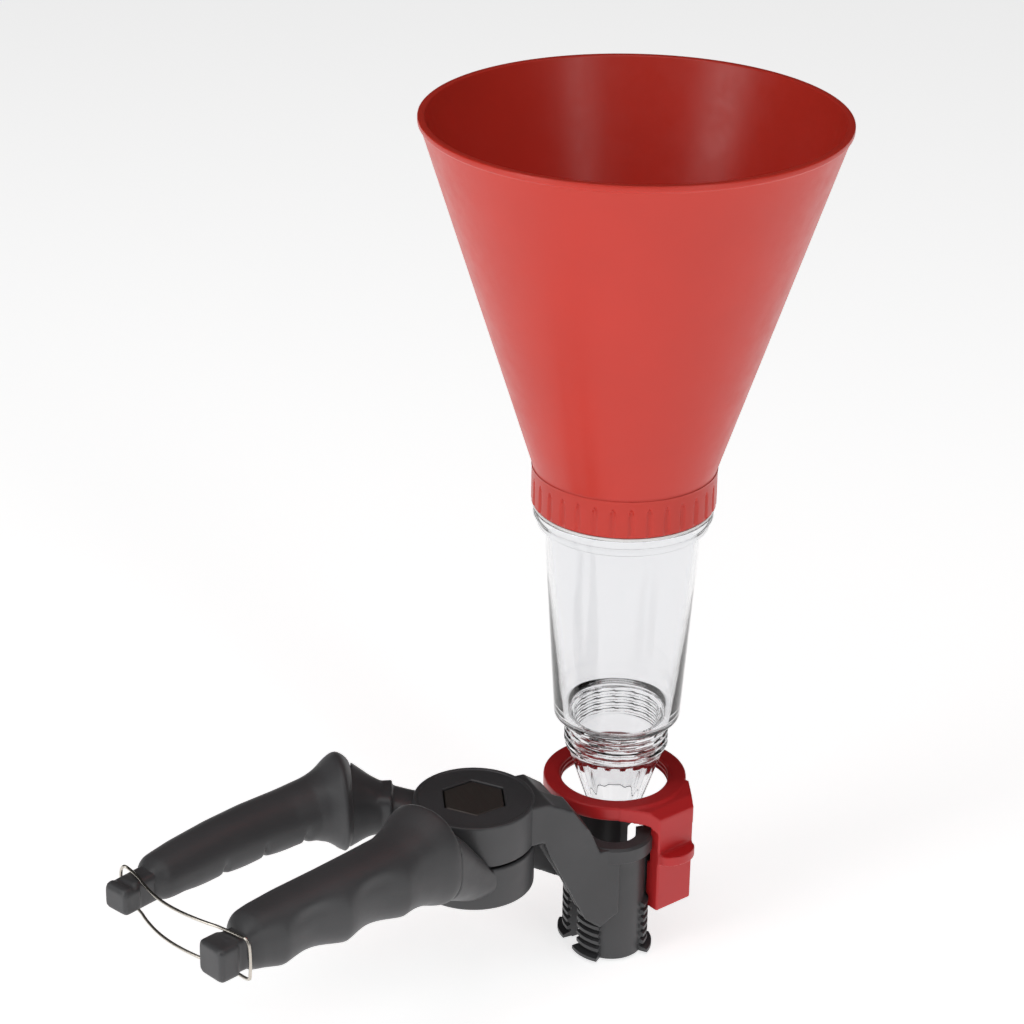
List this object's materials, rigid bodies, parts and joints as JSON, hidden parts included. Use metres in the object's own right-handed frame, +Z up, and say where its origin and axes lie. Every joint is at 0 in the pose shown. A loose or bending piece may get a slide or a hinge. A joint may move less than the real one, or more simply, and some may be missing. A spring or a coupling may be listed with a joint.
{
  "type": "clamp-on filling funnel",
  "caption": "Wide funnel bowl on a clear tapered sight tube, held upright by a threaded ring on a spring clamp whose two half-round jaws grip inside a filler neck.",
  "frame": {"origin": "centre of the filler neck between the two jaws, level with the jaws' lower ends", "axes": "+Z up along the funnel, +X from the clamp's pivot to the jaws along the middle plane"},
  "size_m": [0.2605, 0.1392, 0.2976],
  "materials": {
    "red_polypropylene": "satin moulded",
    "red_nylon": "satin moulded",
    "clear_acrylic": "clear polished",
    "white_seal": "smooth",
    "black_nylon": "satin moulded",
    "grip_rubber": "smooth soft touch",
    "dark_steel": "blackened",
    "bright_steel": "drawn wire and plated"
  },
  "bodies": {
    "upper_clamp": {"upper_lever": "black_nylon", "far_grip": "grip_rubber", "pivot_bolt": "dark_steel", "pivot_nut": "bright_steel", "nut_washer": "bright_steel", "disc_washer": "bright_steel", "torsion_spring": "bright_steel"},
    "lower_clamp": {"lower_lever": "black_nylon", "near_grip": "grip_rubber"},
    "lock": {"wire_lock": "bright_steel"},
    "bracket": {"ring_bracket": "red_nylon"},
    "tube": {"sight_tube": "clear_acrylic"},
    "bowl": {"funnel_bowl": "red_polypropylene", "collar_gasket": "white_seal"}
  },
  "joints": [
    {"name": "clamp_pivot", "type": "hinge", "parent": "upper_clamp", "child": "lower_clamp", "pos_m": [-0.0515, 0, 0.052], "axis": [0, 0, -1], "range_deg": [0, 10], "stiffness_Nm_per_rad": 0.6, "springref_deg": -34.38},
    {"name": "lock_swing", "type": "hinge", "parent": "lower_clamp", "child": "lock", "pos_m": [-0.1529, -0.0555, 0.0635], "axis": [0, 0, 1], "range_deg": [0, 70]},
    {"name": "bracket_lift", "type": "slide", "parent": "upper_clamp", "child": "bracket", "axis": [0, 0, 1], "range_m": [0, 0.02]},
    {"name": "tube_lift", "type": "slide", "parent": "bracket", "child": "tube", "axis": [0, 0, 1], "range_m": [0, 0.03]},
    {"name": "bowl_turn", "type": "hinge", "parent": "tube", "child": "bowl", "pos_m": [0.0088, 0.0132, 0.1632], "axis": [0, 0, 1], "continuous": true}
  ]
}
